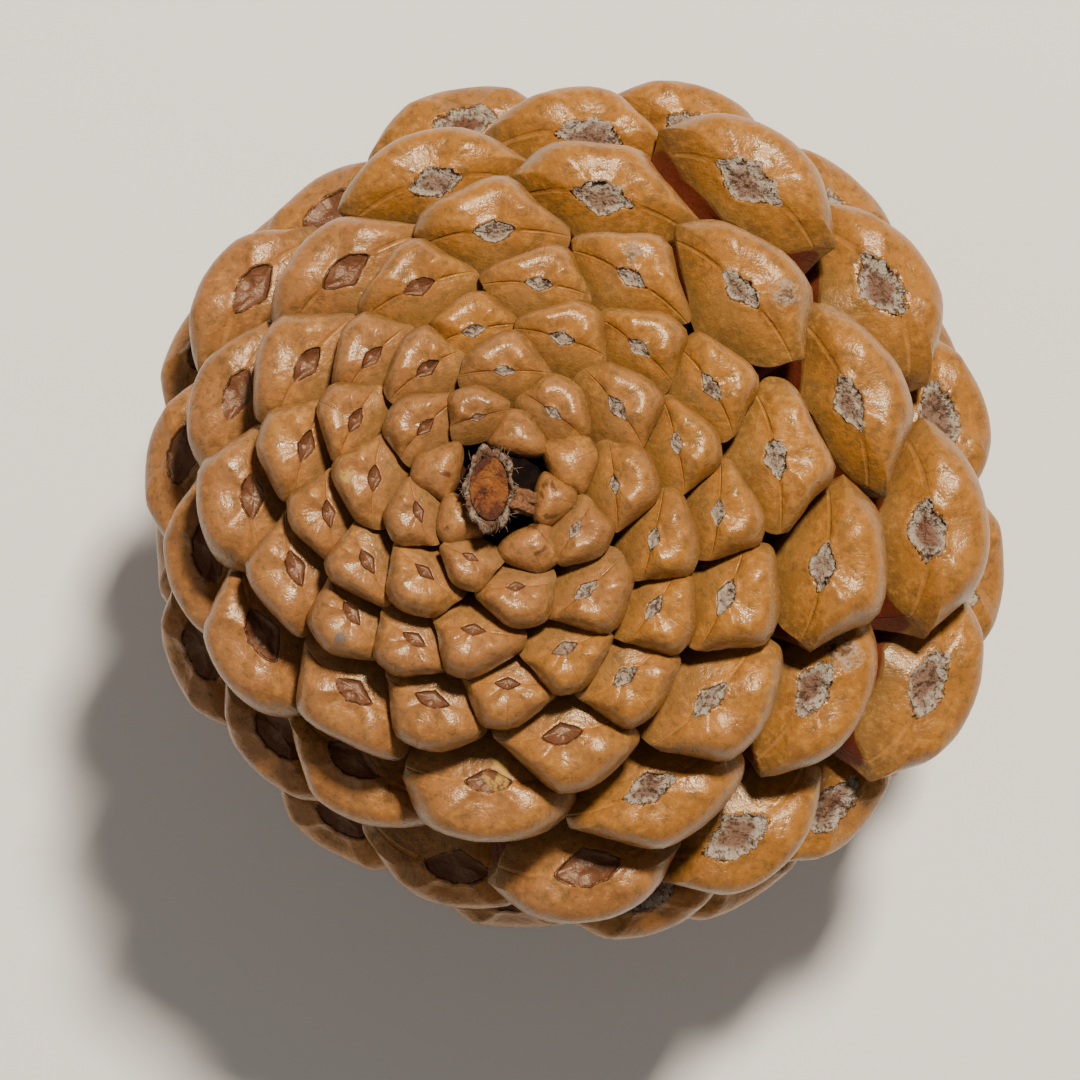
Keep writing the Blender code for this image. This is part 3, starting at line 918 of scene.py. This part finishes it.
    gloss = 0.33 + fine * 0.45 + inBoss * between(0.14, 0.40, scurf) + spotted * 0.4 + behind * 0.12
    plug(tree, gloss, shader.inputs["Roughness"])
    shader.inputs["Specular IOR Level"].default_value = 0.5
    shader.inputs["Specular Tint"].default_value = (1.0, 0.86, 0.66, 1.0)
    relief = fine * 0.7 + crustNoise * inBoss * (0.5 + scurf * 3.2)
    relief = relief - outline * 0.9 + onKeel * 0.3 + folded * 0.3 + crustNoise * spotted * isCrust * 2.4
    addBump(tree, shader, relief, 0.00026, 0.9)
    return material


def linkMesh(name, mesh, material):
    data = bpy.data.meshes.new(name)
    mesh.to_mesh(data)
    mesh.free()
    data.materials.append(material)
    data.shade_smooth()
    made = bpy.data.objects.new(name, data)
    bpy.context.scene.collection.objects.link(made)
    print(name, len(data.vertices), "vertices")
    return made


# the same for a closed body, with its faces turned outward
def linkSolid(name, mesh, material):
    bmesh.ops.recalc_face_normals(mesh, faces=mesh.faces[:])
    return linkMesh(name, mesh, material)


def bridgeRings(mesh, first, second):
    count = len(first)
    for number in range(count):
        after = (number + 1) % count
        mesh.faces.new((first[number], first[after], second[after], second[number]))


def joinRings(mesh, rings):
    for first, second in zip(rings, rings[1:]):
        bridgeRings(mesh, first, second)


def turnsRound(count):
    return [2.0 * math.pi * step / count for step in range(count)]


def closeRing(mesh, ring, point):
    middle = mesh.verts.new(point)
    for number in range(len(ring)):
        mesh.faces.new((ring[number], ring[(number + 1) % len(ring)], middle))


# the woody core behind the scales, painted near-black as the shade it lies in
def makeCore(material):
    mesh = bmesh.new()
    rings = []
    for number in range(core["rings"] + 1):
        depth = mix(core["topDepth"], wholeDepth() - spiral["restPress"], number / core["rings"])
        ring = []
        for turn in turnsRound(core["sides"]):
            point = aroundAxis(turn, coreRadiusAt(depth), depth)
            swell = noise.noise(point * 400.0) * core["roughness"]
            ring.append(mesh.verts.new(settled(aroundAxis(turn, coreRadiusAt(depth) + swell, depth))))
        rings.append(ring)
    joinRings(mesh, rings)
    closeRing(mesh, rings[0], settled(aroundAxis(0.0, 0.0, core["topDepth"] + core["topDip"])))
    closeRing(mesh, rings[-1], settled(aroundAxis(0.0, 0.0, wholeDepth() - spiral["restPress"])))
    return linkSolid("woodyCore", mesh, material)


# the stub of the stem: pith in a torn ring of bark
stub = {
    "x": -0.0012,
    "halfWidth": 0.0028,
    "halfLength": 0.0046,
    "rise": 0.0048,
    "spokes": 72,
    "seed": 8,
}

# its cut face: uneven, sunk in rings, and set a little below the bark's edge
pith = {
    "rings": 14,
    "share": 0.80,
    "wander": 0.06,
    "set": 0.0004,
    "sink": 0.0005,
    "ridge": 0.00012,
    "edgeFrom": 0.93,
    "edgeDrop": 0.0009,
    "middleSet": 0.0003,
    "endShare": 0.3,
}


def stubPoint(turn, spread, rise):
    x = stub["x"] + stub["halfWidth"] * spread * math.cos(turn)
    y = stub["halfLength"] * spread * math.sin(turn)
    return settled(Vector((x, y, wholeDepth() - core["topDepth"] + rise)))


def stubHighest():
    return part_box("stem_stub")[1].z


def pithPoint(turn, share):
    around = noise.noise(Vector((math.cos(turn), math.sin(turn), 3.0)))
    point = stubPoint(turn, pith["share"] * share * (1.0 + pith["wander"] * around), stub["rise"])
    rough = noise.noise(point * 1100.0) * 0.00042 + noise.noise(point * 3200.0) * 0.00016
    hollow = math.cos(share * 3.0 * math.pi) * pith["ridge"] - pith["sink"] * math.sin(share * math.pi)
    point.z += rough + hollow - pith["set"] - pith["edgeDrop"] * smoothStep(share, pith["edgeFrom"], 1.0)
    return point


def makePith(material):
    mesh = bmesh.new()
    rings = []
    for number in range(1, pith["rings"] + 1):
        share = number / pith["rings"]
        rings.append([mesh.verts.new(pithPoint(turn, share)) for turn in turnsRound(stub["spokes"])])
    joinRings(mesh, rings)
    closeRing(mesh, rings[0], stubPoint(0.0, 0.0, stub["rise"] - pith["middleSet"]))
    closeRing(mesh, rings[-1], stubPoint(0.0, 0.0, stub["rise"] * pith["endShare"]))
    return linkSolid("stemPith", mesh, material)


# its bark, from the neck over the torn edge down to the pith. Each ring has a share of the
# stub's half width, a share of its rise, and how much of the tearing it takes
bark = {
    "rings": (
        (0.66, 0.02, 0.0),
        (0.74, 0.30, 0.1),
        (0.90, 0.55, 0.3),
        (1.0, 0.76, 0.6),
        (1.05, 0.90, 1.0),
        (1.0, 1.0, 1.0),
        (0.92, 0.98, 1.0),
        (0.86, 0.90, 0.6),
        (0.80, 0.80, 0.2),
        (0.76, 0.60, 0.0),
    ),
    "ragged": 0.0013,
    "broadUneven": 0.26,
    "fineUneven": 0.09,
    "grain": 0.00018,
}


def barkPoint(turn, spread, rise, torn):
    around = Vector((math.cos(turn) * 4.0, math.sin(turn) * 4.0, 0.0))
    ragged = noise.noise(around * 0.5) * 1.3 + noise.noise(around * 1.7) * 0.7 - 0.45
    height = rise * stub["rise"] + torn * bark["ragged"] * ragged
    uneven = noise.noise(around * 0.45 + Vector((9.0, 0.0, rise))) * bark["broadUneven"]
    uneven += noise.noise(around * 2.1) * bark["fineUneven"]
    point = stubPoint(turn, spread * (1.0 + torn * uneven), height)
    point += Vector((noise.noise(point * 2500.0), noise.noise(point * 2700.0), 0.0)) * bark["grain"]
    point.z = min(point.z, stubHighest())
    return point


def makeBark(material):
    mesh = bmesh.new()
    rings = []
    for spread, rise, torn in bark["rings"]:
        turns = turnsRound(stub["spokes"])
        rings.append([mesh.verts.new(barkPoint(turn, spread, rise, torn)) for turn in turns])
    joinRings(mesh, rings)
    bridgeRings(mesh, rings[-1], rings[0])
    return linkSolid("stemBark", mesh, material)


# torn flaps of bark that bend away from the stub, mostly to its right. The outline of a flap's
# cut has shares of its half width and of its thickness
flap = {
    "count": 5,
    "turn": (-38.0, 32.0),
    "width": (0.0006, 0.0012),
    "length": (0.0024, 0.0044),
    "lift": (-0.0012, 0.0002),
    "start": (0.55, 0.85),
    "spread": 0.9,
    "steps": 6,
    "arch": 0.0004,
    "narrowing": 0.55,
    "thickness": 0.00022,
    "grain": 0.00025,
    "cut": ((-1.0, 0.4), (-0.5, 1.0), (0.0, 0.6), (0.5, 1.0), (1.0, 0.3), (0.4, -1.0), (-0.4, -1.0)),
}


def makeFlap(mesh, number, draw):
    turn = math.radians(draw.uniform(*flap["turn"]))
    width, length = draw.uniform(*flap["width"]), draw.uniform(*flap["length"])
    lift, start = draw.uniform(*flap["lift"]), draw.uniform(*flap["start"]) * stub["rise"]
    outward = Vector((math.cos(turn), math.sin(turn), 0.0))
    aside = Vector((-math.sin(turn), math.cos(turn), 0.0))
    rings = []
    for step in range(flap["steps"] + 1):
        share = step / flap["steps"]
        middle = stubPoint(turn, flap["spread"], start) + outward * length * share
        middle.z += lift * share * share * 2.0 + flap["arch"] * math.sin(share * math.pi)
        torn = 1.0 + 0.5 * noise.noise(Vector((share * 4.0, number * 5.0, 1.0)))
        half = width * (1.0 - flap["narrowing"] * share) * torn
        thick = flap["thickness"] * (1.0 - 0.5 * share)
        ring = []
        for across, up in flap["cut"]:
            point = middle + aside * half * across + Vector((0.0, 0.0, thick * up))
            point += Vector((0.0, 0.0, flap["grain"] * noise.noise(point * 1800.0)))
            point.z = min(point.z, stubHighest())
            ring.append(mesh.verts.new(point))
        rings.append(ring)
    joinRings(mesh, rings)
    mesh.faces.new(rings[0])
    mesh.faces.new(rings[-1])


def makeFlaps(material):
    draw = random.Random(stub["seed"])
    mesh = bmesh.new()
    for number in range(flap["count"]):
        makeFlap(mesh, number, draw)
    return linkSolid("tornFlaps", mesh, material)


# loose fibres that stand out of the bark's torn edge
fibreForm = {
    "Thickness": 0.00007,
    "Length": 0.0012,
    "Splay": 1.1,
    "Bend": 0.0012,
    "Seed": 4,
}

# where the fibres grow, in shares of the stub's half width and rise
fibrePlace = {
    "count": 130,
    "spread": (0.84, 1.1),
    "rise": (0.45, 0.95),
}


def randomField(tree, low, high, seed):
    node = tree.nodes.new("FunctionNodeRandomValue")
    node.data_type = "FLOAT"
    plug(tree, low, node.inputs[2])
    plug(tree, high, node.inputs[3])
    plug(tree, seed, node.inputs["Seed"])
    return Field(node.outputs[1])


def growFibres(material):
    tree, points, given = newTree("growFibres", fibreForm)
    edge = tree.nodes.new("GeometryNodeMeshToPoints")
    tree.links.new(points, edge.inputs["Mesh"])
    fibre = tree.nodes.new("GeometryNodeMeshCone")
    fibre.fill_type = "NGON"
    fibre.inputs["Vertices"].default_value = 4
    fibre.inputs["Side Segments"].default_value = 3
    plug(tree, given["Thickness"] * 0.2, fibre.inputs["Radius Top"])
    plug(tree, given["Thickness"], fibre.inputs["Radius Bottom"])
    plug(tree, given["Length"], fibre.inputs["Depth"])
    scatter = tree.nodes.new("GeometryNodeInstanceOnPoints")
    tree.links.new(edge.outputs[0], scatter.inputs["Points"])
    tree.links.new(fibre.outputs["Mesh"], scatter.inputs["Instance"])
    splay, seed = given["Splay"], given["Seed"]
    leanX = randomField(tree, splay * -1.0, splay, seed)
    leanY = randomField(tree, splay * -1.0, splay, seed + 1.0)
    spin = randomField(tree, 0.0, 6.28, seed + 2.0)
    plug(tree, gather(tree, leanX, leanY, spin), scatter.inputs["Rotation"])
    length = randomField(tree, 0.4, 1.5, seed + 3.0)
    plug(tree, gather(tree, 1.0, 1.0, length), scatter.inputs["Scale"])
    joined = tree.nodes.new("GeometryNodeRealizeInstances")
    tree.links.new(scatter.outputs[0], joined.inputs[0])
    place = Field(tree.nodes.new("GeometryNodeInputPosition").outputs[0])
    bendX = ripple(tree, place, 900.0, 1.0) * given["Bend"]
    bendY = ripple(tree, place + Vector((0.3, 0.1, 0.0)), 900.0, 1.0) * given["Bend"]
    x, y, z = split(place)
    bent = gather(tree, x + bendX, y + bendY, least(z, stubHighest()))
    finishTree(tree, moveTo(tree, joined.outputs[0], bent), material)
    return tree


def fibrePoints():
    draw = random.Random(stub["seed"] + 1)
    points = []
    for number in range(fibrePlace["count"]):
        turn = draw.uniform(0.0, 2.0 * math.pi)
        spread, rise = draw.uniform(*fibrePlace["spread"]), draw.uniform(*fibrePlace["rise"])
        points.append(stubPoint(turn, spread, stub["rise"] * rise))
    mesh = bpy.data.meshes.new("fibrePoints")
    mesh.from_pydata(points, [], [])
    made = bpy.data.objects.new("fibrePoints", mesh)
    bpy.context.scene.collection.objects.link(made)
    return made


# colours of the stub, and of the core painted near-black as the shade behind the scales, as linear values
stubColours = {
    "pith": (0.240, 0.070, 0.008),
    "pithDark": (0.075, 0.016, 0.005),
    "pithPale": (0.380, 0.150, 0.022),
    "pithSpeck": (0.050, 0.014, 0.007),
    "grey": ((0.270, 0.215, 0.155), (0.024, 0.014, 0.009), (0.120, 0.052, 0.024)),
    "rust": ((0.250, 0.100, 0.034), (0.030, 0.012, 0.006), (0.130, 0.048, 0.016)),
    "core": (0.002, 0.001, 0.001),
    "coreFibre": (0.010, 0.004, 0.002),
}


def coreMaterial():
    material, tree, shader = newMaterial("coreInPaintedShade")
    place = objectPlace(tree)
    fibres = ripple(tree, place, 600.0, 4.0, 0.7)
    # painted shade: the core is near-black, and its fibres are barely lighter
    colour = blend(tree, stubColours["core"], stubColours["coreFibre"], ramp(fibres, -0.1, 0.25))
    plug(tree, colour, shader.inputs["Base Color"])
    shader.inputs["Roughness"].default_value = 0.95
    shader.inputs["Specular IOR Level"].default_value = 0.1
    addBump(tree, shader, fibres, 0.0005)
    return material


def pithMaterial():
    material, tree, shader = newMaterial("orangePith")
    colours = stubColours
    place = objectPlace(tree)
    broad = ripple(tree, place, 420.0, 3.0, 0.6, 0.8)
    fine = ripple(tree, place, 2600.0, 4.0, 0.7)
    colour = blend(tree, colours["pith"], colours["pithDark"], ramp(broad, -0.06, 0.08))
    colour = blend(tree, colour, colours["pithPale"], ramp(broad * -1.0 + fine * 0.3, 0.08, 0.28) * 0.6)
    colour = blend(tree, colour, colours["pithSpeck"], ramp(fine, 0.08, 0.24) * 0.8)
    plug(tree, colour, shader.inputs["Base Color"])
    shader.inputs["Roughness"].default_value = 0.6
    addBump(tree, shader, fine * 1.6 + broad * 1.2, 0.0004)
    return material


def barkMaterial(name, colours):
    light, dark, warm = colours
    material, tree, shader = newMaterial(name)
    place = objectPlace(tree)
    broad = ripple(tree, place, 700.0, 3.0, 0.6, 0.5)
    fine = ripple(tree, place, 3000.0, 4.0, 0.7, 0.4)
    colour = blend(tree, warm, light, ramp(broad + fine * 0.3, -0.08, 0.14))
    colour = blend(tree, colour, dark, ramp(fine * -1.0 + broad * 0.4, 0.04, 0.20))
    plug(tree, colour, shader.inputs["Base Color"])
    shader.inputs["Roughness"].default_value = 0.85
    addBump(tree, shader, fine, 0.0003)
    return material


placeCamera()
print("camera placed")

stationDraw = random.Random(spiral["seed"])
scales = [placeScale(index, angle, room, stationDraw) for index, angle, room in walkOutline()]
growTraits(scales)
print(len(scales), "scales placed")

scaleFinish = scaleMaterial()
scaleTree = growScales("growScales", scaleFinish)
groups = {
    "closedScales": (4, 43),
    "openScales": (44, 92),
    "tipScales": (93, 999),
}
conePieces = []
for groupName, (first, last) in groups.items():
    chosen = [scale for scale in scales if first <= scale["index"] <= last]
    points = scalePoints(groupName + "Points", chosen, scales)
    conePieces.append(settle(points, scaleTree, scaleForm, groupName))
conePieces.append(makeCore(coreMaterial()))
print("scales grown")

greyBark = barkMaterial("greyBark", stubColours["grey"])
rustBark = barkMaterial("rustBark", stubColours["rust"])
stubPieces = [makePith(pithMaterial()), makeBark(greyBark), makeFlaps(rustBark)]
stubPieces.append(settle(fibrePoints(), growFibres(greyBark), fibreForm, "barkFibres"))
print("stub made")


# a plain pale floor, just under the spot that the cone stands on
ground = {
    "halfSize": 3.0,
    "drop": 0.0002,
    "colour": (0.78, 0.77, 0.76, 1.0),
    "roughness": 0.8,
}


def makeFloor():
    mesh = bmesh.new()
    bmesh.ops.create_grid(mesh, x_segments=1, y_segments=1, size=ground["halfSize"])
    material, tree, shader = newMaterial("paleFloor")
    shader.inputs["Base Color"].default_value = ground["colour"]
    shader.inputs["Roughness"].default_value = ground["roughness"]
    floor = linkMesh("floor", mesh, material)
    floor.location.z = -ground["drop"]


# soft studio light, strongest from the upper right as in the photo
lights = {
    "key": {"place": (0.22, 0.43, 1.10), "size": 0.13, "power": 28.0, "colour": (1.0, 0.89, 0.73)},
    "fill": {"place": (-0.8, -0.7, 0.8), "size": 1.2, "power": 2.4, "colour": (1.0, 0.95, 0.88)},
}


# the light that the room itself gives, and the height that the lamps are aimed at
roomLight = {
    "colour": (1.0, 0.95, 0.88, 1.0),
    "strength": 0.18,
    "aimHeight": 0.07,
}


def makeLights():
    for name, light in lights.items():
        lamp = bpy.data.lights.new(name, "AREA")
        lamp.size = light["size"]
        lamp.energy = light["power"]
        lamp.color = light["colour"]
        made = bpy.data.objects.new(name, lamp)
        bpy.context.scene.collection.objects.link(made)
        made.location = light["place"]
        aim = Vector(light["place"]) - Vector((0.0, 0.0, roomLight["aimHeight"]))
        made.rotation_euler = aim.to_track_quat("Z", "Y").to_euler()
    world = bpy.data.worlds.new("softRoom")
    bpy.context.scene.world = world
    world.use_nodes = True
    background = world.node_tree.nodes["Background"]
    background.inputs["Color"].default_value = roomLight["colour"]
    background.inputs["Strength"].default_value = roomLight["strength"]


makeFloor()
makeLights()

for piece in conePieces:
    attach(piece, "root")
    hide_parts("cone")

for piece in stubPieces:
    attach(piece, "root")
    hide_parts("stem_stub")
